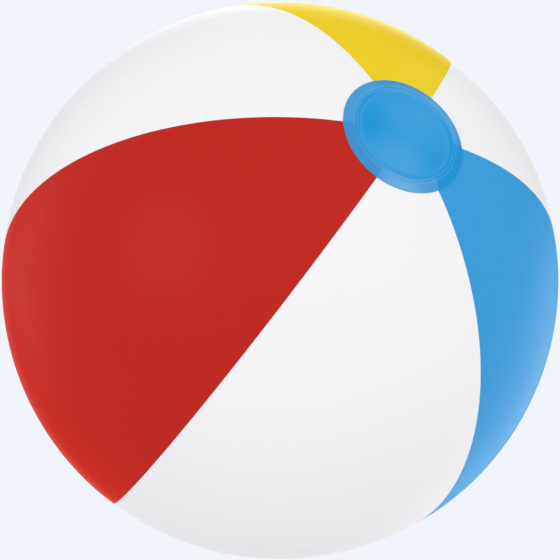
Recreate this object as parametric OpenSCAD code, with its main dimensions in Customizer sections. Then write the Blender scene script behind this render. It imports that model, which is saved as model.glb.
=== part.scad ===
// Inflatable beach ball: six vinyl panels, a disc over each pole and a push-in valve.
// Millimetres. The origin is the centre of the ball and +Z is its polar axis, through
// the two end discs. +Y is the axis of the valve, in the middle of the valve panel.
// Angles round the polar axis are counted from +X towards +Y.

/* [Ball] */
// Diameter of the inflated ball, over its panels
ball_d = 340; // [320:5:400]
// Thickness of the vinyl film
film_t = 0.3; // [0.25:0.05:0.5]
// Width at the equator of the weld lap that each panel tucks under the next one
lap_w = 6; // [4:0.5:8]
// Width at the equator of the doubled film on a panel's own side of that seam
joggle_w = 2; // [1:0.5:4]
// Diameter of the gap in which the panels' tips end, hidden under each end disc
tip_gap_d = 22; // [16:1:30]

/* [Panels] */
// How far round the polar axis the red panel goes, in degrees
red_angle = 60.5; // [57:0.5:63]
// How far round the white panel between red and blue goes
white_front_angle = 63; // [57:0.5:63]
// How far round the blue panel goes
blue_angle = 61.5; // [57:0.5:63]
// How far round the white panel with the valve goes
white_valve_angle = 55.5; // [54:0.5:63]
// How far round the yellow panel goes: the last white panel takes what is left
yellow_angle = 58; // [57:0.5:63]

/* [End discs] */
// Diameter of each end disc
disc_d = 70; // [60:1:80]
// Thickness of an end disc
disc_t = 0.5; // [0.3:0.1:1]
// Width of the weld ring round the edge of an end disc
ring_w = 6.5; // [5:0.5:9]
// Height of the weld ring above the disc
ring_h = 0.6; // [0.2:0.1:1]
// Width of the slope on each side of the weld ring
ring_slope_w = 1.6; // [0.8:0.1:2]

/* [Valve seat] */
// Outer diameter of the flange that is welded behind the valve panel
flange_d = 32; // [28:1:40]
// Thickness of the flange
flange_t = 1; // [0.6:0.1:1.5]
// Diameter of the recess that the stem is pushed into
recess_d = 18; // [18:0.5:20]
// Width of the raised lip round the recess, which fills the hole in the panel
lip_w = 1.2; // [0.8:0.1:2]
// Wall of the thin boot that joins the flange to the stem
boot_t = 0.6; // [0.4:0.1:1]

/* [Valve stem] */
// Length of the stem
stem_len = 18.1; // [16:0.1:20]
// Outer diameter of the stem
stem_d = 10.4; // [10:0.1:10.8]
// Diameter of the bore that a pump nozzle goes into
bore_d = 6.6; // [6:0.1:7]
// Diameter of the bore's flared mouth
mouth_d = 7.6; // [7.6:0.1:8]
// Depth of the flare
mouth_depth = 5; // [4.8:0.1:6]
// Diameter of the bead round the mouth
bead_d = 11.6; // [11.2:0.1:11.8]
// Diameter of the collar at the stem's inner end
collar_d = 13; // [12:0.1:13.4]

/* [Plug and flap] */
// Diameter of the plug's head
head_d = 11.2; // [10.8:0.1:11.4]
// Thickness of the plug's head
head_t = 1.7; // [1.5:0.1:2]
// Length of the plug's tapered shank
shank_len = 4.7; // [4:0.1:4.7]
// Diameter of the shank at its tip
shank_tip_d = 4.2; // [3:0.1:4.2]
// Reach of the plug's pull tab from the valve axis
tab_reach = 7.8; // [7:0.1:8.2]
// Width of the plug's pull tab and its strap
strap_w = 3; // [2:0.5:4]
// Distance of the plug's hinge line from the valve axis
plug_hinge_r = 8.5; // [8.4:0.1:8.8]
// Diameter of the non-return flap
flap_d = 9.4; // [8.6:0.1:10]
// Thickness of the non-return flap
flap_t = 0.5; // [0.3:0.1:0.8]
// Distance of the flap's hinge line from the valve axis
flap_hinge_r = 6; // [5.5:0.1:6.2]

/* [Hidden] */

// Curved faces of the ball and of the small valve pieces
ball_fn = 180;
valve_fn = 72;

ball_r = ball_d / 2;
// Angle round the polar axis at which each panel starts
white_valve_start = 90 - white_valve_angle / 2;
blue_start = white_valve_start - blue_angle;
white_front_start = blue_start - white_front_angle;
red_start = white_front_start - red_angle;
yellow_start = white_valve_start + white_valve_angle;
white_left_start = yellow_start + yellow_angle;
white_left_angle = red_start + 360 - white_left_start;
// Angle from the pole to the panels' tips and to the edge of a disc
tip_angle = asin(tip_gap_d / 2 / ball_r);
disc_angle = asin(disc_d / 2 / ball_r);
// Widths of the lap and of the doubled film as angles round the polar axis
lap_width_angle = lap_w / ball_r * 180 / PI;
joggle_angle = joggle_w / ball_r * 180 / PI;

// Running gap between pieces that move apart, and between the moulded pieces of the valve
gap = 0.1;

// Heights along the valve axis, from the crown of the valve panel
mouth_z = -head_t - gap;
stem_foot_z = mouth_z - stem_len;
bead_h = 1.2;
collar_h = 1.5;
recess_r = recess_d / 2;
lip_r = recess_r + lip_w;
// Height of the flange's inner face at the rim of the recess
flange_back_z = -film_t - flange_t - recess_r * recess_r / ball_d;
// Radius at which the boot meets the stem's collar
boot_foot_r = collar_d / 2 + gap;
boot_reach = 1.3;
// Radius of the strap's loop, and the place of its centre
loop_r = 1.05;
loop_t = 0.7;
loop_centre_r = plug_hinge_r - 0.25 - loop_r;
loop_z = mouth_z + 0.3;
// Root of the strap on the stem
lug_reach = 0.9;
lug_h = 1.2;
tab_t = 1;
edge_chamfer = 0.4;
// Width of the flat margin outside a disc's weld ring
ring_edge_w = 0.2;
// Clearance of the shank's root in the mouth of the bore
shank_root_gap = 0.25;
flap_neck_w = 4;

red = [0.75, 0.17, 0.14];
blue = [0.24, 0.6, 0.85];
yellow = [0.91, 0.81, 0.15];
white = [0.96, 0.96, 0.96];

// Point at an angle from the +Z pole, in a profile whose second axis is Z
function from_pole(r, angle) = [r * sin(angle), r * cos(angle)];

// Profile of a spherical layer between two radii and two angles from the +Z pole
module arc_band(r_in, r_out, angle_a, angle_b) {
    reach = 1.5 * r_out;
    step = (angle_b - angle_a) / 4;
    intersection() {
        difference() {
            circle(r = r_out, $fn = ball_fn);
            circle(r = r_in, $fn = ball_fn);
        }
        polygon(concat([[0, 0]], [for (i = [0:4]) from_pole(reach, angle_a + i * step)]));
    }
}

// Sector of a turned profile, from one angle round the polar axis to another
module sector(from_angle, to_angle) {
    rotate([0, 0, from_angle])
        rotate_extrude(angle = to_angle - from_angle, $fn = ball_fn)
            children();
}

// Panel from one angle round the polar axis on: a double layer of film, cut back to the
// outer one over the panel and to the inner one, the weld lap, beyond its far seam.
// The lap goes on beneath the next panel.
module panel(start_angle, panel_angle) {
    inner_r = ball_r - 2 * film_t;
    between_r = ball_r - film_t;
    lap_end = panel_angle + lap_width_angle;
    rotate([0, 0, start_angle])
        difference() {
            sector(0, lap_end)
                arc_band(inner_r, ball_r, tip_angle, 180 - tip_angle);
            sector(-1, panel_angle - joggle_angle)
                arc_band(inner_r - 1, between_r, tip_angle - 1, 181 - tip_angle);
            sector(panel_angle, lap_end + 1)
                arc_band(between_r, ball_r + 1, tip_angle - 1, 181 - tip_angle);
        }
}

// Disc over the +Z pole, with the sloped weld ring that stands proud round its edge
module end_disc() {
    face_r = ball_r + disc_t;
    crest_r = face_r + ring_h;
    inner_edge = disc_d / 2 - ring_w;
    outer_edge = disc_d / 2 - ring_edge_w;
    rotate_extrude($fn = ball_fn)
        difference() {
            arc_band(ball_r, crest_r + 1, 0, disc_angle);
            difference() {
                arc_band(face_r, crest_r + 2, -1, disc_angle + 1);
                polygon([
                    from_pole(face_r - ring_h, asin((inner_edge - ring_slope_w) / ball_r)),
                    from_pole(crest_r, asin((inner_edge + ring_slope_w) / ball_r)),
                    from_pole(crest_r, asin((outer_edge - ring_slope_w) / ball_r)),
                    from_pole(face_r - ring_h, asin((outer_edge + ring_slope_w) / ball_r))
                ]);
            }
        }
}

// Puts a valve piece in place. In its own frame +Z points out along the valve axis,
// Z = 0 is the crown of the valve panel, and +Y points towards the lower end disc.
module on_valve_axis() {
    rotate([-90, 0, 0])
        translate([0, 0, ball_r])
            children();
}

// A solid turned about the valve axis from its outline
module turned(outline) {
    rotate_extrude($fn = valve_fn)
        polygon(outline);
}

module panel_blue() {
    color(blue) panel(blue_start, blue_angle);
}

module panel_white_valve() {
    color(white)
        difference() {
            panel(white_valve_start, white_valve_angle);
            on_valve_axis()
                cylinder(r = lip_r + gap, h = 10, center = true, $fn = valve_fn);
        }
}

module panel_yellow() {
    color(yellow) panel(yellow_start, yellow_angle);
}

module panel_white_left() {
    color(white) panel(white_left_start, white_left_angle);
}

module panel_red() {
    color(red) panel(red_start, red_angle);
}

module panel_white_front() {
    color(white) panel(white_front_start, white_front_angle);
}

module end_disc_top() {
    color(blue) end_disc();
}

module end_disc_bottom() {
    color(blue) mirror([0, 0, 1]) end_disc();
}

// Flange that follows the panel's inner face, with a lip up through the panel's hole
module valve_flange() {
    color(white)
        on_valve_axis()
            rotate_extrude($fn = valve_fn)
                intersection() {
                    translate([0, -ball_r])
                        difference() {
                            circle(r = ball_r, $fn = ball_fn);
                            circle(r = ball_r - film_t - flange_t, $fn = ball_fn);
                        }
                    union() {
                        translate([recess_r, -ball_r])
                            square([lip_w, ball_r]);
                        intersection() {
                            translate([recess_r, -ball_r])
                                square([flange_d / 2 - recess_r, ball_r]);
                            translate([0, -ball_r])
                                circle(r = ball_r - film_t, $fn = ball_fn);
                        }
                    }
                }
}

// Thin boot, folded in while the stem is pushed in
module valve_boot() {
    top_z = flange_back_z - gap;
    foot_z = stem_foot_z + gap;
    side_r = boot_foot_r + boot_reach;
    color(white)
        on_valve_axis()
            turned([
                [recess_r, top_z],
                [recess_r + boot_t, top_z],
                [side_r, foot_z],
                [boot_foot_r, foot_z],
                [boot_foot_r, foot_z + boot_t],
                [side_r - boot_t, foot_z + boot_t]
            ]);
}

// Stem with a flared mouth, a bead, a collar at its inner end and a lug for the strap
module valve_stem() {
    color(white)
        on_valve_axis() {
            turned([
                [bore_d / 2, stem_foot_z],
                [collar_d / 2, stem_foot_z],
                [collar_d / 2, stem_foot_z + collar_h],
                [stem_d / 2, stem_foot_z + collar_h],
                [stem_d / 2, mouth_z - bead_h],
                [bead_d / 2, mouth_z - bead_h],
                [bead_d / 2, mouth_z],
                [mouth_d / 2, mouth_z],
                [bore_d / 2, mouth_z - mouth_depth]
            ]);
            translate([-strap_w / 2, stem_d / 2, mouth_z - lug_h])
                cube([strap_w, bead_d / 2 - stem_d / 2 + lug_reach, lug_h]);
        }
}

// Strap: a loop from the lug on the stem to the edge of the plug's head
module valve_strap() {
    arm_start = head_d / 2 + gap;
    lug_end = bead_d / 2 + lug_reach + gap;
    color(white)
        on_valve_axis() {
            translate([-strap_w / 2, loop_centre_r, loop_z])
                rotate([90, 0, 90])
                    rotate([0, 0, -90])
                        rotate_extrude(angle = 180, $fn = valve_fn)
                            translate([loop_r - loop_t, 0])
                                square([loop_t, strap_w]);
            translate([-strap_w / 2, arm_start, loop_z + loop_r - loop_t])
                cube([strap_w, loop_centre_r - arm_start, loop_t]);
            translate([-strap_w / 2, lug_end, loop_z - loop_r])
                cube([strap_w, loop_centre_r - lug_end, loop_t]);
        }
}

// Plug: a head with a chamfered edge, a tapered shank and a pull tab
module valve_plug() {
    tab_r = strap_w / 2;
    shank_root_r = mouth_d / 2 - shank_root_gap;
    color(white)
        on_valve_axis() {
            turned([
                [0, 0],
                [head_d / 2 - edge_chamfer, 0],
                [head_d / 2, -edge_chamfer],
                [head_d / 2, -head_t],
                [shank_root_r, -head_t],
                [shank_tip_d / 2, -head_t - shank_len],
                [0, -head_t - shank_len]
            ]);
            translate([-tab_r, -tab_reach + tab_r, -edge_chamfer - tab_t])
                cube([strap_w, tab_reach - tab_r, tab_t]);
            translate([0, -tab_reach + tab_r, -edge_chamfer - tab_t])
                cylinder(r = tab_r, h = tab_t, $fn = valve_fn);
        }
}

// Non-return flap that hangs against the stem's inner end
module valve_flap() {
    color(white)
        on_valve_axis()
            translate([0, 0, stem_foot_z - gap - flap_t]) {
                cylinder(d = flap_d, h = flap_t, $fn = valve_fn);
                translate([-flap_neck_w / 2, -flap_hinge_r + gap, 0])
                    cube([flap_neck_w, flap_hinge_r - gap, flap_t]);
            }
}

panel_red();
panel_white_front();
panel_blue();
panel_white_valve();
panel_yellow();
panel_white_left();
end_disc_top();
end_disc_bottom();
valve_flange();
valve_boot();
valve_stem();
valve_strap();
valve_plug();
valve_flap();
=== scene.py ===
# Looks of the inflatable beach ball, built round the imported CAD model.
#
# Metres, in the CAD frame: the origin is the centre of the ball, +Z is the polar axis
# through the two end discs, and +Y is the axis of the valve.

import math

import bmesh
import bpy
from mathutils import Matrix, Quaternion, Vector


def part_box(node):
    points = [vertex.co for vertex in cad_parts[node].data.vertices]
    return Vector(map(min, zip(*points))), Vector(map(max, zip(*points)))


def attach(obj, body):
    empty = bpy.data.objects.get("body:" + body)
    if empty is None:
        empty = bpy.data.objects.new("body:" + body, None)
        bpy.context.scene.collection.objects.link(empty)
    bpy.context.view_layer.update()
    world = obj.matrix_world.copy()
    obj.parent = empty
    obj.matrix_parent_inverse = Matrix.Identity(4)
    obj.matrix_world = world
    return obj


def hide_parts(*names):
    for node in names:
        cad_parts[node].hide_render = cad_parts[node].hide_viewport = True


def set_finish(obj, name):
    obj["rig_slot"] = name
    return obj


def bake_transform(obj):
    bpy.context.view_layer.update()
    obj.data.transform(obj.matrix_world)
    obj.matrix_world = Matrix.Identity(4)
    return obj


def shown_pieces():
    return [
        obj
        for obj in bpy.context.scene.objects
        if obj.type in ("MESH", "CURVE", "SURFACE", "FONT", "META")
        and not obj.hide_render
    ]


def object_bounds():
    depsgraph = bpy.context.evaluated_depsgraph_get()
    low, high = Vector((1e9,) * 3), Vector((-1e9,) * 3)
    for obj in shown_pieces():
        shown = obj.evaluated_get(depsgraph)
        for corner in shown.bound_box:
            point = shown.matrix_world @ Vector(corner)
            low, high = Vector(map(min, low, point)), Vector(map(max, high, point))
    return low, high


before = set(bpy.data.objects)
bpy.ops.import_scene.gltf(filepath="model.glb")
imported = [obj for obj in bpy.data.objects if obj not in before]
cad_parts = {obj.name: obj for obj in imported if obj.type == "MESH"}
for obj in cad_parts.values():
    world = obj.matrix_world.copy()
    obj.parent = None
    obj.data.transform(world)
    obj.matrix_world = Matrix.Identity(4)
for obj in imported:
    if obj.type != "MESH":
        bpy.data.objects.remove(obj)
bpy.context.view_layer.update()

MM = 0.001


# ---------------------------------------------------------------- sizes from the frame

FACE_TOLERANCE = 0.05 * MM


def outer_face(node):
    """Places of a CAD node's vertices that are as far from the centre of the ball as any."""
    points = [v.co.copy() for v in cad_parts[node].data.vertices]
    farthest = max(p.length for p in points)
    return [p for p in points if p.length > farthest - FACE_TOLERANCE]


def panel_span(node):
    """Angle round the polar axis at which a CAD panel starts, and how far round it goes."""
    face = outer_face(node)
    middle = sum((Vector((p.x, p.y)) for p in face), Vector((0, 0)))
    centre = math.atan2(middle.y, middle.x)
    turns = []
    for p in face:
        turn = math.atan2(p.y, p.x) - centre
        turns.append((turn + math.pi) % (2 * math.pi) - math.pi)
    return centre + min(turns), max(turns) - min(turns)


BALL_R = max(p.length for p in outer_face("panel_red"))
DISC_EDGE_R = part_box("end_disc_top")[1].x

# Vinyl piece: the CAD panel that it stands for, and its material
PANELS = {
    "blue_panel": ("panel_blue", "vinyl_blue"),
    "white_valve_panel": ("panel_white_valve", "vinyl_white"),
    "yellow_panel": ("panel_yellow", "vinyl_yellow"),
    "white_left_panel": ("panel_white_left", "vinyl_white"),
    "red_panel": ("panel_red", "vinyl_red"),
    "white_front_panel": ("panel_white_front", "vinyl_white"),
}
SPANS = {name: panel_span(node) for name, (node, slot_name) in PANELS.items()}
SEAMS = [start for start, width in SPANS.values()]

# Linear colours
COLOURS = {
    "vinyl_red": (0.474, 0.020, 0.014),
    "vinyl_blue": (0.041, 0.310, 0.650),
    "vinyl_yellow": (0.800, 0.592, 0.015),
    "vinyl_white": (0.848, 0.845, 0.862),
    "valve_vinyl": (0.800, 0.820, 0.840),
}
DISC_COLOUR = (0.008, 0.290, 0.640)

# The film, its weld laps, and the small open ring that the panels leave round each pole
FILM_T = 0.3 * MM
LAP_W = 6 * MM
JOGGLE_W = 2 * MM
TIP_GAP_R = 11 * MM
TIP_ANGLE = math.asin(TIP_GAP_R / BALL_R)

# Valve frame: X and Y across its axis, Z = 0 at the crown of its panel, +Z out of the ball
VALVE_PLACE = Matrix(((1, 0, 0, 0), (0, 0, 1, BALL_R), (0, -1, 0, 0), (0, 0, 0, 1)))
HOLE_R = 10.3 * MM


# ---------------------------------------------------------------- mesh helpers

# Edges sharper than this stay crisp
SHARP_ANGLE = math.radians(35)
CORNER_STEPS = 5


def shade(piece):
    piece.data.polygons.foreach_set("use_smooth", [True] * len(piece.data.polygons))
    piece.data.set_sharp_from_angle(angle=SHARP_ANGLE)


def new_object(name, points, faces):
    """A smooth-shaded object in the scene, with its faces turned outwards."""
    mesh = bpy.data.meshes.new(name)
    mesh.from_pydata([tuple(p) for p in points], [], faces)
    tidy = bmesh.new()
    tidy.from_mesh(mesh)
    bmesh.ops.recalc_face_normals(tidy, faces=tidy.faces)
    tidy.to_mesh(mesh)
    tidy.free()
    piece = bpy.data.objects.new(name, mesh)
    bpy.context.scene.collection.objects.link(piece)
    shade(piece)
    return piece


def lathe(name, outline, segments, place, wobble=None):
    """A closed outline of (radius, height) points turned about an axis, then put in place.

    A point with radius 0 is on the axis and becomes one vertex. wobble(radius, height,
    angle) gives a change of (radius, height) for small uneven detail.
    """
    points, rings = [], []
    for radius, height in outline:
        if radius == 0:
            rings.append([len(points)])
            points.append(place @ Vector((0, 0, height)))
            continue
        rings.append(list(range(len(points), len(points) + segments)))
        for k in range(segments):
            angle = 2 * math.pi * k / segments
            dr, dh = wobble(radius, height, angle) if wobble else (0, 0)
            r = radius + dr
            points.append(place @ Vector((r * math.cos(angle), r * math.sin(angle), height + dh)))
    faces = []
    for i, ring in enumerate(rings):
        after = rings[(i + 1) % len(rings)]
        if len(ring) == 1 and len(after) == 1:
            continue
        for k in range(segments):
            m = (k + 1) % segments
            if len(ring) == 1:
                faces.append((ring[0], after[k], after[m]))
            elif len(after) == 1:
                faces.append((ring[k], after[0], ring[m]))
            else:
                faces.append((ring[k], after[k], after[m], ring[m]))
    return new_object(name, points, faces)


def rounded(corners, radius):
    """An outline in metres with its corners rounded.

    A corner is (x, y), or (x, y, its own radius), in millimetres.
    """
    made = []
    count = len(corners)
    for i, corner in enumerate(corners):
        here = Vector(corner[:2])
        own = corner[2] if len(corner) > 2 else radius
        to_last = Vector(corners[i - 1][:2]) - here
        to_next = Vector(corners[(i + 1) % count][:2]) - here
        back = own / math.tan(to_last.angle(to_next) / 2)
        back = min(back, 0.45 * to_last.length, 0.45 * to_next.length)
        if here.x == 0 or back < 1e-4:
            made.append(tuple(here * MM))
            continue
        start, end = here + to_last.normalized() * back, here + to_next.normalized() * back
        for k in range(CORNER_STEPS + 1):
            t = k / CORNER_STEPS
            made.append(tuple((start * (1 - t) ** 2 + here * 2 * t * (1 - t) + end * t * t) * MM))
    return made


def swept(name, sections):
    """A tube through sections, which are closed loops of the same length, with its ends shut."""
    count = len(sections[0])
    points = [p for section in sections for p in section]
    faces = []
    for i in range(len(sections) - 1):
        for k in range(count):
            a, b = i * count + k, i * count + (k + 1) % count
            faces.append((a, b, b + count, a + count))
    last = (len(sections) - 1) * count
    faces.append(tuple(range(count)))
    faces.append(tuple(range(last, last + count)))
    return new_object(name, points, faces)


def pill(half_width, low, high, corner):
    """Rounded rectangle in mm: from -half_width to half_width across, from low to high."""
    half_height = (high - low) / 2
    corner = min(corner, half_width * 0.98, half_height * 0.98)
    loop = []
    for side_x, side_z, first in ((1, 1, 0), (-1, 1, 90), (-1, -1, 180), (1, -1, 270)):
        for k in range(6):
            turn = math.radians(first + 18 * k)
            x = side_x * (half_width - corner) + corner * math.cos(turn)
            z = side_z * (half_height - corner) + corner * math.sin(turn)
            loop.append((x, z + (low + high) / 2))
    return loop


def bar(name, stations, corner=0.3):
    """A solid along the valve frame's Y, from stations of (y, half_width, low z, high z) in mm."""
    sections = []
    for y, half_width, low, high in stations:
        loop = pill(half_width, low, high, corner)
        sections.append([VALVE_PLACE @ (Vector((x, y, z)) * MM) for x, z in loop])
    return swept(name, sections)


def fused(piece, *others):
    """Piece becomes one closed solid with the other meshes, which are used up."""
    for other in others:
        join = piece.modifiers.new("join", "BOOLEAN")
        join.operation = "UNION"
        join.solver = "EXACT"
        join.object = other
    bpy.context.view_layer.update()
    seen = bpy.context.evaluated_depsgraph_get()
    result = bpy.data.meshes.new_from_object(piece.evaluated_get(seen))
    piece.modifiers.clear()
    piece.data = result
    for other in others:
        bpy.data.objects.remove(other)
    shade(piece)
    return piece


def spread(start, end, steps):
    """Even steps from start to end, with both ends in."""
    return [start + (end - start) * k / steps for k in range(steps + 1)]


def bell(distance, width):
    """1 at no distance, falling smoothly to nothing past a few widths."""
    return math.exp(-((distance / width) ** 2))


# ---------------------------------------------------------------- shape of the skin

SEAM_VALLEY_DEPTH = 0.16 * MM
SEAM_VALLEY_W = 9 * MM
WELD_GROOVE_DEPTH = 0.07 * MM
WELD_GROOVE_W = 0.9 * MM
PUCKER_DEPTH = 0.03 * MM
PUCKER_REACH = 6 * MM
TIP_PUCKER_DEPTH = 0.05 * MM
TIP_PUCKER_REACH = 7 * MM
VALVE_WELD_RADII = (12.2 * MM, 14.6 * MM)
VALVE_WELD_DEPTH = 0.15 * MM
VALVE_WELD_W = 0.45 * MM
# The valve's welds are looked for only where the direction's Y is above this
NEAR_VALVE_Y = 0.98


def ripple(distance, seed):
    """An uneven wave along a weld, from -1 to 1, at the spacing of vinyl puckers."""
    return (
        0.45 * math.sin(distance / (2.1 * MM) + seed)
        + 0.35 * math.sin(distance / (3.4 * MM) + 2.3 * seed)
        + 0.20 * math.sin(distance / (1.3 * MM) + 4.1 * seed)
    )


def seam_turn(azimuth, seam):
    """How far round from a seam an azimuth is, whichever way is shorter."""
    return abs((azimuth - seam + math.pi) % (2 * math.pi) - math.pi)


def skin_point(way, depth=0.0):
    """Point of the skin in the direction way, at a depth under its outer face."""
    azimuth = math.atan2(way.y, way.x)
    flat = math.hypot(way.x, way.y)
    polar = math.atan2(flat, way.z)
    turn, seam = min((seam_turn(azimuth, s), i) for i, s in enumerate(SEAMS))
    across = turn * BALL_R * flat
    r = BALL_R
    r -= SEAM_VALLEY_DEPTH * bell(across, SEAM_VALLEY_W)
    r -= WELD_GROOVE_DEPTH * bell(across, WELD_GROOVE_W)
    r += PUCKER_DEPTH * math.exp(-across / PUCKER_REACH) * ripple(BALL_R * polar, seam + 1)
    from_disc = BALL_R * min(polar, math.pi - polar) - DISC_EDGE_R
    if from_disc < 6 * TIP_PUCKER_REACH:
        fade = math.exp(-max(from_disc, 0) / TIP_PUCKER_REACH)
        r += TIP_PUCKER_DEPTH * fade * ripple(azimuth % (2 * math.pi) * DISC_EDGE_R, 9)
    if way.y > NEAR_VALVE_Y:
        from_valve = BALL_R * math.hypot(way.x, way.z)
        for weld_r in VALVE_WELD_RADII:
            r -= VALVE_WELD_DEPTH * bell(from_valve - weld_r, VALVE_WELD_W)
    return way * (r - depth)


def direction(azimuth, polar):
    """Unit vector at an angle round the polar axis and an angle from its upper end."""
    flat = math.sin(polar)
    return Vector((flat * math.cos(azimuth), flat * math.sin(azimuth), math.cos(polar)))


# ---------------------------------------------------------------- panels

# Rounding of a cut edge of the film: distance from the edge and depth under the face, in mm
CUT_EDGE = [(0.0, 0.09), (0.04, 0.03), (0.1, 0.006)]
# Distances in mm from a seam of the first lines of a panel's grid, then the angle from the
# seam at which its even lines start
NEAR_SEAM = (0.25, 0.55, 1.0, 1.6, 2.4, 3.5, 5.0)
EVEN_LINES_START = 0.04
PANEL_COLUMNS = 40
PANEL_ROWS = 220
PANEL_POLARS = spread(TIP_ANGLE, math.pi - TIP_ANGLE, PANEL_ROWS)


def panel_section(start, width):
    """Closed cross-section of a panel, as (azimuth, depth under the outer face) points.

    The outer face runs from seam to seam, with its edges rounded over. The film is doubled
    just before the far seam, and its under layer goes on beneath the next panel as the lap.
    Also returns the azimuths of the outer face alone.
    """
    end = start + width
    edge = [(mm * MM / BALL_R, depth * MM) for mm, depth in CUT_EDGE]
    near = [mm * MM / BALL_R for mm in NEAR_SEAM]
    face = [start + a for a in near]
    face += spread(start + EVEN_LINES_START, end - EVEN_LINES_START, PANEL_COLUMNS)
    face += [end - a for a in reversed(near)]
    lap, joggle = end + LAP_W / BALL_R, end - JOGGLE_W / BALL_R
    section = [(start + a, depth) for a, depth in edge]
    section += [(a, 0.0) for a in face]
    section += [(end - a, depth) for a, depth in reversed(edge)]
    section += [(a, FILM_T) for a in spread(end, lap, 3)]
    section += [(a, 2 * FILM_T) for a in reversed(spread(end, lap, 3))]
    section += [(joggle, 2 * FILM_T), (joggle, FILM_T)]
    section += [(a, FILM_T) for a in reversed(face) if a < joggle - 1e-6]
    section += [(start, FILM_T)]
    return section, face


def panel_piece(name, start, width):
    section, face = panel_section(start, width)
    rows = [[skin_point(direction(a, p), d) for a, d in section] for p in PANEL_POLARS]
    return swept(name, rows)


# Half width of the square of the valve panel's grid that rings round the hole replace
HOLE_PATCH = 19 * MM
# Radius of the first round ring, and how many points the rings inside it have to one of its own
PATCH_CIRCLE = 17.6 * MM
PATCH_SPLIT = 3
# Radii in mm of the rings, close together over the two weld grooves round the valve
FACE_RINGS = [16.6, 15.9, 15.3, 14.95, 14.75, 14.6, 14.45, 14.25, 13.9, 13.3, 12.8, 12.55, 12.35,
              12.2, 12.05, 11.85, 11.4, 10.9, 10.6]
BACK_RINGS = [16.6, 14.0, 12.0, 10.3]


def valve_panel_piece(name, start, width):
    """The panel with the valve. Rings of faces lead from its grid to a round hole."""
    section, face = panel_section(start, width)
    count = len(section)
    points = [skin_point(direction(a, p), d) for p in PANEL_POLARS for a, d in section]

    reach = HOLE_PATCH / BALL_R
    rows = [i for i, p in enumerate(PANEL_POLARS) if abs(p - math.pi / 2) <= reach]
    columns = [a for a in face if abs(a - math.pi / 2) <= reach]
    face_part = [section.index((a, 0.0)) for a in columns]
    back_part = [section.index((a, FILM_T)) for a in columns]
    cut = set()
    for part in (face_part, back_part):
        cut.update((i, min(k, m)) for i in rows[:-1] for k, m in zip(part, part[1:]))

    faces = []
    for i in range(PANEL_ROWS):
        for k in range(count):
            if (i, k) not in cut:
                a, b = i * count + k, i * count + (k + 1) % count
                faces.append((a, b, b + count, a + count))
    last = PANEL_ROWS * count
    faces.append(tuple(range(count)))
    faces.append(tuple(range(last, last + count)))

    def border(part):
        """Vertices round the cut square, in order."""
        ring = [rows[0] * count + k for k in part]
        ring += [i * count + part[-1] for i in rows[1:]]
        ring += [rows[-1] * count + k for k in reversed(part[:-1])]
        ring += [i * count + part[0] for i in reversed(rows[1:-1])]
        return ring

    def add_ring(angles, radii, depth):
        """A ring of new points of the skin round the valve axis. Returns their numbers."""
        made = []
        for angle, radius in zip(angles, radii):
            x, z = radius * math.cos(angle), radius * math.sin(angle)
            way = Vector((x, math.sqrt(BALL_R**2 - radius**2), z)) / BALL_R
            made.append(len(points))
            points.append(skin_point(way, depth))
        return made

    def join(ring, after):
        """Faces between two rings, where the second may have several times more points."""
        times = len(after) // len(ring)
        for k in range(len(ring)):
            far = [after[(k * times + j) % len(after)] for j in range(times, -1, -1)]
            faces.append((ring[k], ring[(k + 1) % len(ring)], *far))

    def patch(part, rings):
        """Rings of faces from the border of the cut square inwards. Returns the last one."""
        ring = border(part)
        angles = [math.atan2(points[v].z, points[v].x) for v in ring]
        depth = rings[0][1]
        far = [BALL_R * math.hypot(points[v].x, points[v].z) / points[v].length for v in ring]
        for share in (0.5, 1):
            radii = [f * (1 - share) + PATCH_CIRCLE * share for f in far]
            after = add_ring(angles, radii, depth)
            join(ring, after)
            ring = after
        dense = []
        for here, there in zip(angles, angles[1:] + angles[:1]):
            step = (there - here + math.pi) % (2 * math.pi) - math.pi
            dense += [here + step * j / PATCH_SPLIT for j in range(PATCH_SPLIT)]
        for radius, depth in rings:
            after = add_ring(dense, [radius] * len(dense), depth)
            join(ring, after)
            ring = after
        return ring

    face_rings = [(r * MM, 0.0) for r in FACE_RINGS]
    face_rings += [(HOLE_R + mm * MM, depth * MM) for mm, depth in reversed(CUT_EDGE)]
    wall_top = patch(face_part, face_rings)
    wall_foot = patch(back_part, [(r * MM, FILM_T) for r in BACK_RINGS])
    join(wall_top, wall_foot)
    return new_object(name, points, faces)


# ---------------------------------------------------------------- end discs

# Half section of an end disc from its edge inwards, in mm: how far in from the edge, and
# the height over the ball. A rounded weld ring with a fine groove stands round a basin.
DISC_PROFILE = [
    (0, -0.3), (0, 0.15), (0.1, 0.3), (0.3, 0.4), (0.8, 0.5), (1.6, 0.68), (2.4, 0.88),
    (3.2, 1.08), (3.9, 1.22), (4.4, 1.28), (4.8, 1.27), (5.05, 1.2), (5.25, 1.12), (5.45, 1.1),
    (5.65, 1.13), (5.9, 1.22), (6.3, 1.28), (6.8, 1.26), (7.2, 1.15), (7.7, 0.95), (8.3, 0.69),
    (8.8, 0.52), (9.4, 0.42), (10.4, 0.37), (12, 0.36), (14, 0.39), (17, 0.46), (20.5, 0.54),
    (25, 0.61), (30, 0.63),
]
DISC_CENTRE_H = 0.64
DISC_BACK_H = -0.3
DISC_SEGMENTS = 192
RING_PUCKER = 0.02 * MM
RING_PUCKER_REACH = 6 * MM
# The panels show faintly through the margin of a disc, which is pressed onto them: how much,
# and the radii between which that comes in
SHOW_THROUGH = 0.07
SHOW_R = (DISC_EDGE_R - 7.5 * MM, DISC_EDGE_R - 5 * MM)
# Each disc is welded on a little off the pole
DISC_OFF_POLE = (-1.16 * MM, 0.08 * MM)
DISC_LEAN = Vector((0, 0, 1)).rotation_difference(Vector((*DISC_OFF_POLE, BALL_R)))


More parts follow.
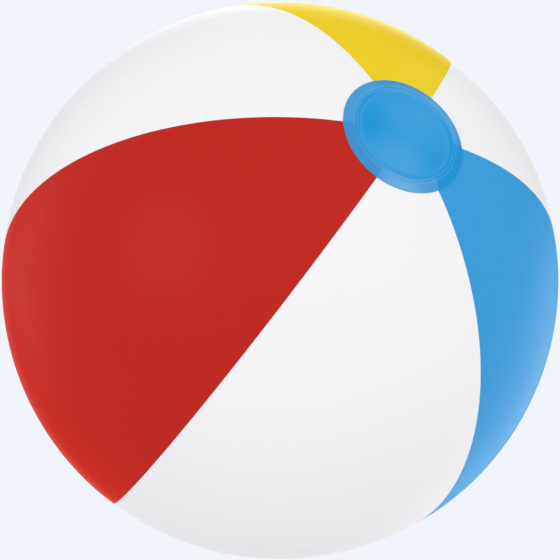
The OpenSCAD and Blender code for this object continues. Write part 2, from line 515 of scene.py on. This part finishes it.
def panel_at(azimuth):
    """Name of the panel that lies at an angle round the polar axis."""
    for name, (start, width) in SPANS.items():
        if (azimuth - start) % (2 * math.pi) < width:
            return name
    return "red_panel"


def disc_wobble(radius, height, angle):
    """Faint puckers that die away over the margin towards the middle of a disc."""
    fade = math.exp((radius - DISC_EDGE_R) / RING_PUCKER_REACH)
    return 0, RING_PUCKER * fade * ripple(angle * DISC_EDGE_R, 5)


def end_disc_piece(name, side):
    """side is 1 for the disc over +Z and -1 for the one over -Z."""
    def over(r, h):
        """Point of the half section at a radius, h mm over the ball."""
        return r, math.sqrt(BALL_R**2 - r * r) + h * MM

    outline = [over(DISC_EDGE_R - inset * MM, height) for inset, height in DISC_PROFILE]
    outline.append(over(0, DISC_CENTRE_H))
    outline += [over(r, DISC_BACK_H) for r in spread(0, DISC_EDGE_R - 1 * MM, 9)]
    place = Matrix.Scale(side, 4, Vector((0, 0, 1))) @ DISC_LEAN.to_matrix().to_4x4()
    piece = lathe(name, outline, DISC_SEGMENTS, place, disc_wobble)
    to_own_axis = place.inverted()
    under = piece.data.color_attributes.new("panel_under", "FLOAT_COLOR", "POINT")
    for vertex in piece.data.vertices:
        own = to_own_axis @ vertex.co
        r = math.hypot(own.x, own.y)
        share = SHOW_THROUGH * min(max((r - SHOW_R[0]) / (SHOW_R[1] - SHOW_R[0]), 0), 1)
        panel = panel_at(math.atan2(vertex.co.y, vertex.co.x))
        under.data[vertex.index].color = (*COLOURS[PANELS[panel][1]], share)
    return piece


# ---------------------------------------------------------------- valve

# All sizes and places of the valve are in mm in its own frame
VALVE_SEGMENTS = 96
BOOT_TOP_Z = -1.64
BOOT_FOOT_Z = -19.8
BOOT_TOP_R = 9.35
BOOT_TAPER = 1.75
BOOT_HALF_T = 0.2
BOOT_STEPS = 60
BOOT_PLEAT = 0.16
BOOT_CRUMPLE = 0.1


def turned(name, corners, radius):
    """A piece turned about the valve axis from corners of (radius, z) in mm, rounded."""
    return lathe(name, rounded(corners, radius), VALVE_SEGMENTS, VALVE_PLACE)


def valve_flange_piece():
    """Collar welded behind the panel, with the mouth of the valve's recess."""
    return turned("flange", [
        (9, -1.54, 0.2), (16, -2.05, 0.3), (16, -1.06, 0.3), (10.2, -0.61, 0.05),
        (10.2, -0.3, 0.14), (9, -0.24, 0.3),
    ], 0.2)


def valve_boot_piece():
    """Folding web: a thin sleeve with low pleats, and a foot ring round the stem's collar."""
    walls = []
    for i in range(BOOT_STEPS + 1):
        t = i / BOOT_STEPS
        pleat = BOOT_PLEAT * math.sin(8 * math.pi * t) * math.sin(math.pi * t)
        z = BOOT_TOP_Z + (BOOT_FOOT_Z - BOOT_TOP_Z) * t
        walls.append((BOOT_TOP_R - BOOT_TAPER * t + pleat, z))
    outline = [(r + BOOT_HALF_T, z) for r, z in walls]
    outline += [(6.75, BOOT_FOOT_Z), (6.62, BOOT_FOOT_Z + 0.13), (6.62, BOOT_FOOT_Z + 0.37)]
    outline += [(6.75, BOOT_FOOT_Z + 0.5)]
    outline += [(r - BOOT_HALF_T, z) for r, z in reversed(walls) if z > BOOT_FOOT_Z + 0.5]
    outline = [(r * MM, z * MM) for r, z in outline]

    def crumple(radius, height, angle):
        """Uneven folds, deepest halfway along the boot."""
        t = (height / MM - BOOT_TOP_Z) / (BOOT_FOOT_Z - BOOT_TOP_Z)
        soft = max(math.sin(math.pi * t), 0)
        wave = 0.6 * math.sin(7 * angle + 5 * t) + 0.4 * math.sin(12 * angle - 3 * t)
        return BOOT_CRUMPLE * MM * soft * wave, 0

    return lathe("boot", outline, VALVE_SEGMENTS, VALVE_PLACE, crumple)


GRIP_RING_Z = (-8.4, -7.2, -6.0)


def valve_stem_piece():
    """Tube with a bead at its mouth, low grip rings, a collar and the lug of the strap."""
    grips = []
    for z in GRIP_RING_Z:
        grips += [(5.2, z - 0.42, 0.3), (5.42, z - 0.12, 0.2), (5.42, z + 0.12, 0.2),
                  (5.2, z + 0.42, 0.3)]
    tube = turned("stem", [
        (3.3, -19.9), (6.5, -19.9, 0.35), (6.5, -18.4, 0.35), (5.2, -18.4, 0.4), *grips,
        (5.2, -3.0, 0.3), (5.8, -3.0, 0.35), (5.8, -1.8, 0.45), (3.8, -1.8, 0.3), (3.3, -6.8, 2),
    ], 0.15)
    lug = bar("lug", [(5.0, 1.5, -2.95, -1.85), (6.4, 1.5, -2.95, -1.85), (6.6, 1.42, -2.87, -1.93),
                      (6.68, 1.25, -2.75, -2.05)])
    return fused(tube, lug)


STRAP_T = 0.4
STRAP_HALF_W = 1.45
STRAP_CORNER = 0.18
STRAP_START_Y = 6.66
STRAP_END_Y = 5.58
STRAP_LOOP_STEPS = 24
STRAP_LOOP_R = 0.85
STRAP_LOOP_Y = 7.6
STRAP_LOOP_Z = -1.5


def valve_strap_piece():
    """A thin strap from the lug on the stem, round a loop, to the edge of the plug's head."""
    low, high = STRAP_LOOP_Z - STRAP_LOOP_R, STRAP_LOOP_Z + STRAP_LOOP_R
    path = [(y, low, 0) for y in spread(STRAP_START_Y, STRAP_LOOP_Y, 6)]
    for k in range(1, STRAP_LOOP_STEPS):
        turn = math.pi * k / STRAP_LOOP_STEPS
        path.append((STRAP_LOOP_Y + STRAP_LOOP_R * math.sin(turn),
                     STRAP_LOOP_Z - STRAP_LOOP_R * math.cos(turn), turn))
    path += [(y, high, math.pi) for y in spread(STRAP_LOOP_Y, STRAP_END_Y, 10)]
    sections = []
    for y, z, turn in path:
        out_y, out_z = -math.sin(turn), math.cos(turn)
        loop = pill(STRAP_HALF_W, -STRAP_T / 2, STRAP_T / 2, STRAP_CORNER)
        sections.append([VALVE_PLACE @ (Vector((x, y + h * out_y, z + h * out_z)) * MM)
                         for x, h in loop])
    return swept("strap", sections)


TAB_ROOT_Y = -4.6
TAB_TIP_Y = -7.78
TAB_ROUND_Y = -6.3
TAB_HALF_W = 1.48
TAB_TIP_HALF_W = 0.35
TAB_RIDGE_Y = (-6.35, -6.95)
TAB_RIDGE_H = 0.16
TAB_RIDGE_W = 0.16


def valve_plug_piece():
    """Dished head, tapered shank with a sealing ring, and a pull tab with two grip ridges."""
    head = turned("plug", [
        (0, -0.28), (3.6, -0.26, 1), (4.5, -0.02, 0.5), (5.6, -0.02, 0.45), (5.6, -1.7, 0.3),
        (3.55, -1.7, 0.2), (3.35, -2.6, 0.2), (3.52, -3.0, 0.2), (3.5, -3.5, 0.2),
        (3.1, -3.9, 0.2), (2.1, -6.4, 0.6), (0, -6.4),
    ], 0.2)
    stations = []
    for y in spread(TAB_ROOT_Y, TAB_TIP_Y, 40):
        past = max(TAB_ROUND_Y - y, 0)
        half_width = math.sqrt(max(TAB_HALF_W**2 - past**2, TAB_TIP_HALF_W**2))
        ridge = TAB_RIDGE_H * sum(bell(y - middle, TAB_RIDGE_W) for middle in TAB_RIDGE_Y)
        stations.append((y, half_width, -1.38, -0.42 + ridge))
    return fused(head, bar("tab", stations, 0.28))


FLAP_NECK_HALF_W = 2.0
FLAP_HINGE_Y = -5.2
FLAP_HINGE_GROOVE = 0.09
FLAP_HINGE_W = 0.18


def valve_flap_piece():
    """Round flap that shuts the stem's inner end, on a neck with a thinned hinge line."""
    disc = turned("flap", [(0, -20.5), (4.68, -20.5, 0.15), (4.68, -20.0, 0.15), (0, -20.0)], 0.1)
    stations = []
    for y in spread(-3.6, -5.88, 24):
        thin = FLAP_HINGE_GROOVE * bell(y - FLAP_HINGE_Y, FLAP_HINGE_W)
        stations.append((y, FLAP_NECK_HALF_W, -20.48 + thin, -20.02 - thin))
    return fused(disc, bar("flap_neck", stations, 0.12))


# ---------------------------------------------------------------- build

def place_piece(piece, node, slot_name, body="ball"):
    """The piece rides on a body and stands for one CAD node."""
    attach(piece, body)
    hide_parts(node)
    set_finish(piece, slot_name)


for name, (node, slot_name) in PANELS.items():
    make = valve_panel_piece if node == "panel_white_valve" else panel_piece
    place_piece(make(name, *SPANS[name]), node, slot_name)
place_piece(end_disc_piece("top_disc", 1), "end_disc_top", "vinyl_blue")
place_piece(end_disc_piece("bottom_disc", -1), "end_disc_bottom", "vinyl_blue")

place_piece(valve_flange_piece(), "valve_flange", "valve_vinyl")
place_piece(valve_stem_piece(), "valve_stem", "valve_vinyl", "stem")
place_piece(valve_plug_piece(), "valve_plug", "valve_vinyl", "plug")
place_piece(valve_flap_piece(), "valve_flap", "valve_vinyl", "flap")


def place_bending(piece, node, slot_name):
    """The piece keeps its place, which is baked into its mesh, and stands for one CAD node."""
    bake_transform(piece)
    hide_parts(node)
    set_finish(piece, slot_name)


place_bending(valve_boot_piece(), "valve_boot", "valve_vinyl")
place_bending(valve_strap_piece(), "valve_strap", "valve_vinyl")


# ---------------------------------------------------------------- materials

SHEEN_WEIGHT = 1
SHEEN_ROUGHNESS = 0.5


def vinyl(name, colour, specular, roughness=0.27, show_under=False):
    """Soft glossy vinyl: faint clouding of its colour, a fine uneven gloss and grain.

    show_under mixes in the colour of the panels below, which the mesh gives at each point.
    """
    material = bpy.data.materials.new(name)
    material.use_nodes = True
    nodes, links = material.node_tree.nodes, material.node_tree.links
    shader = nodes["Principled BSDF"]
    shader.inputs["Specular IOR Level"].default_value = specular
    shader.inputs["Sheen Weight"].default_value = SHEEN_WEIGHT
    shader.inputs["Sheen Roughness"].default_value = SHEEN_ROUGHNESS
    shader.inputs["Sheen Tint"].default_value = (*[0.95 * c / max(colour) for c in colour], 1)
    place = nodes.new("ShaderNodeTexCoord")

    cloud = nodes.new("ShaderNodeTexNoise")
    cloud.inputs["Scale"].default_value = 9
    cloud.inputs["Detail"].default_value = 3
    links.new(place.outputs["Object"], cloud.inputs["Vector"])
    tint = nodes.new("ShaderNodeMix")
    tint.data_type = "RGBA"
    tint.inputs["A"].default_value = (*[c * 0.985 for c in colour], 1)
    tint.inputs["B"].default_value = (*[min(c * 1.015, 1) for c in colour], 1)
    links.new(cloud.outputs["Fac"], tint.inputs["Factor"])
    shown = tint.outputs["Result"]
    if show_under:
        under = nodes.new("ShaderNodeAttribute")
        under.attribute_name = "panel_under"
        through = nodes.new("ShaderNodeMix")
        through.data_type = "RGBA"
        links.new(under.outputs["Alpha"], through.inputs["Factor"])
        links.new(shown, through.inputs["A"])
        links.new(under.outputs["Color"], through.inputs["B"])
        shown = through.outputs["Result"]
    links.new(shown, shader.inputs["Base Color"])

    gloss = nodes.new("ShaderNodeMapRange")
    gloss.inputs["To Min"].default_value = roughness - 0.03
    gloss.inputs["To Max"].default_value = roughness + 0.03
    links.new(cloud.outputs["Fac"], gloss.inputs["Value"])
    links.new(gloss.outputs["Result"], shader.inputs["Roughness"])

    grain = nodes.new("ShaderNodeTexNoise")
    grain.inputs["Scale"].default_value = 900
    grain.inputs["Detail"].default_value = 2
    links.new(place.outputs["Object"], grain.inputs["Vector"])
    bump = nodes.new("ShaderNodeBump")
    bump.inputs["Strength"].default_value = 0.12
    bump.inputs["Distance"].default_value = 0.02 * MM
    links.new(grain.outputs["Fac"], bump.inputs["Height"])
    links.new(bump.outputs["Normal"], shader.inputs["Normal"])
    return material


# Specular level of each slot's material
GLOSS = {"vinyl_red": 0.06, "vinyl_blue": 0.07, "vinyl_yellow": 0.06, "vinyl_white": 0.04,
         "valve_vinyl": 0.3}
MATERIALS = {name: vinyl(name, COLOURS[name], gloss) for name, gloss in GLOSS.items()}
disc_vinyl = vinyl("vinyl_blue_disc", DISC_COLOUR, 0.5, 0.2, show_under=True)
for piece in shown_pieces():
    piece.data.materials.clear()
    of_disc = "panel_under" in piece.data.attributes
    piece.data.materials.append(disc_vinyl if of_disc else MATERIALS[piece["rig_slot"]])


# ---------------------------------------------------------------- camera

CAMERA_AZIMUTH = math.radians(23.21)
CAMERA_ELEVATION = math.radians(53.13)
CAMERA_ROLL = math.radians(41.0)
CAMERA_DISTANCE = 5 * BALL_R
CAMERA_LENS = 87.68
CAMERA_SHIFT = 0.0014

toward_camera = Vector((
    math.sin(CAMERA_AZIMUTH) * math.cos(CAMERA_ELEVATION),
    -math.cos(CAMERA_AZIMUTH) * math.cos(CAMERA_ELEVATION),
    math.sin(CAMERA_ELEVATION),
))
level_turn = (-toward_camera).to_track_quat("-Z", "Y")
camera_turn = level_turn @ Quaternion((0, 0, 1), CAMERA_ROLL)

camera_data = bpy.data.cameras.new("camera")
camera_data.lens = CAMERA_LENS
camera_data.shift_y = CAMERA_SHIFT
camera_data.clip_start = 0.05
camera = bpy.data.objects.new("camera", camera_data)
bpy.context.scene.collection.objects.link(camera)
camera.location = toward_camera * CAMERA_DISTANCE
camera.rotation_mode = "QUATERNION"
camera.rotation_quaternion = camera_turn
bpy.context.scene.camera = camera


# ---------------------------------------------------------------- stage and light

# Strengths of the even light of the room, of the two softboxes, and of the cards that show
# only as reflections in the vinyl
ROOM_LIGHT = 0.85
SOFTBOX_POWER = 3.2
LEFT_CARD = 0.6
RIGHT_CARD = 1.4
BACK_CARD = 0.5
HIGH_BACK_CARD = 1.4
DISC_CARD = 0.82
DISC_SLOPE_CARD = 1.65
SOFTBOX_DISTANCE = 1.4
SOFTBOX_D = 0.8
# Each softbox's angles in degrees from the direction of the camera, to the side and up
SOFTBOXES = {"softbox_left": (-42.8, 12.3), "softbox_right": (40.2, 6.0)}


def from_camera_axis(side_degrees, up_degrees):
    """Unit vector out of the ball, by its angles from the direction of the camera."""
    side, up = math.radians(side_degrees), math.radians(up_degrees)
    aim = Vector((math.sin(side) * math.cos(up), math.sin(up), math.cos(side) * math.cos(up)))
    return camera_turn @ aim


def round_light(name, aim, distance, diameter, power):
    """A round soft light that is turned to the centre of the ball."""
    data = bpy.data.lights.new(name, "AREA")
    data.shape = "DISK"
    data.size = diameter
    data.energy = power
    light = bpy.data.objects.new(name, data)
    bpy.context.scene.collection.objects.link(light)
    light.location = aim * distance
    light.rotation_mode = "QUATERNION"
    light.rotation_quaternion = (-aim).to_track_quat("-Z", "Y")


for name, angles in SOFTBOXES.items():
    round_light(name, from_camera_axis(*angles), SOFTBOX_DISTANCE, SOFTBOX_D, SOFTBOX_POWER)

# Colour of the floor and the backdrop, and the share of it that the floor gives off itself
PAPER = (0.880, 0.913, 0.965)
PAPER_GLOW = 0.88
PAPER_ALBEDO = 0.12

world = bpy.data.worlds.new("room")
world.use_nodes = True
world.node_tree.nodes["Background"].inputs["Color"].default_value = (1, 1, 1, 1)
world.node_tree.nodes["Background"].inputs["Strength"].default_value = ROOM_LIGHT
bpy.context.scene.world = world
world.cycles_visibility.glossy = False


def paper(name, glow, albedo):
    """Matt paper that gives off light of its own in the colour of the backdrop."""
    material = bpy.data.materials.new(name)
    material.use_nodes = True
    shader = material.node_tree.nodes["Principled BSDF"]
    shader.inputs["Base Color"].default_value = (albedo, albedo, albedo, 1)
    shader.inputs["Roughness"].default_value = 1
    shader.inputs["Specular IOR Level"].default_value = 0
    shader.inputs["Emission Color"].default_value = (*PAPER, 1)
    shader.inputs["Emission Strength"].default_value = glow
    return material


def shell(name, radius):
    """A large sphere round the scene."""
    mesh = bpy.data.meshes.new(name)
    sphere = bmesh.new()
    bmesh.ops.create_icosphere(sphere, subdivisions=3, radius=radius)
    sphere.to_mesh(mesh)
    sphere.free()
    piece = bpy.data.objects.new(name, mesh)
    bpy.context.scene.collection.objects.link(piece)
    piece.visible_diffuse = False
    piece.visible_transmission = False
    piece.visible_shadow = False
    return piece


def soft_cards(name, cards):
    """Light from soft round patches of a sphere round the origin.

    A card is its direction, the angles in degrees from it at which it starts to fade and is
    gone, and its strength.
    """
    material = bpy.data.materials.new(name)
    material.use_nodes = True
    nodes, links = material.node_tree.nodes, material.node_tree.links
    nodes.clear()
    place = nodes.new("ShaderNodeTexCoord")
    outward = nodes.new("ShaderNodeVectorMath")
    outward.operation = "NORMALIZE"
    links.new(place.outputs["Object"], outward.inputs[0])
    total = None
    for aim, full, gone, strength in cards:
        across = nodes.new("ShaderNodeVectorMath")
        across.operation = "DOT_PRODUCT"
        across.inputs[1].default_value = aim
        links.new(outward.outputs["Vector"], across.inputs[0])
        fade = nodes.new("ShaderNodeMapRange")
        fade.interpolation_type = "SMOOTHSTEP"
        fade.inputs["From Min"].default_value = math.cos(math.radians(gone))
        fade.inputs["From Max"].default_value = math.cos(math.radians(full))
        fade.inputs["To Max"].default_value = strength
        links.new(across.outputs["Value"], fade.inputs["Value"])
        if total is None:
            total = fade.outputs["Result"]
            continue
        both = nodes.new("ShaderNodeMath")
        links.new(total, both.inputs[0])
        links.new(fade.outputs["Result"], both.inputs[1])
        total = both.outputs["Value"]
    glow = nodes.new("ShaderNodeEmission")
    links.new(total, glow.inputs["Strength"])
    output = nodes.new("ShaderNodeOutputMaterial")
    links.new(glow.outputs["Emission"], output.inputs["Surface"])
    return material


# The backdrop is seen by the camera alone
BACKDROP_R = 8.0
GLOW_R = 6.0
backdrop = shell("backdrop", BACKDROP_R)
backdrop.data.materials.append(paper("backdrop_paper", 1.0, 0.0))
backdrop.visible_glossy = False
glow_shell = shell("glow_shell", GLOW_R)
glow_shell.visible_camera = False
glow_shell.data.materials.append(soft_cards("glow_cards", [
    (from_camera_axis(-112, 0), 6, 30, LEFT_CARD),
    (from_camera_axis(130, -22), 12, 36, RIGHT_CARD),
    (from_camera_axis(180, 0), 20, 38, BACK_CARD),
    (from_camera_axis(180, 22), 9, 22, HIGH_BACK_CARD),
    (from_camera_axis(54.5, 36.2), 5, 18.5, DISC_SLOPE_CARD),
    (from_camera_axis(87, 50), 3, 17.5, DISC_CARD),
    (from_camera_axis(123.7, 42.8), 3, 17.5, DISC_CARD),
]))

FLOOR_HALF = 5.0
ground_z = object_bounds()[0].z
floor_mesh = bpy.data.meshes.new("floor")
floor_corners = [(x * FLOOR_HALF, y * FLOOR_HALF, ground_z)
                 for x, y in ((-1, -1), (1, -1), (1, 1), (-1, 1))]
floor_mesh.from_pydata(floor_corners, [], [(0, 1, 2, 3)])
floor = bpy.data.objects.new("floor", floor_mesh)
bpy.context.scene.collection.objects.link(floor)
floor_mesh.materials.append(paper("floor_paper", PAPER_GLOW, PAPER_ALBEDO))

floor.visible_glossy = False

bpy.context.scene.view_settings.view_transform = "Standard"
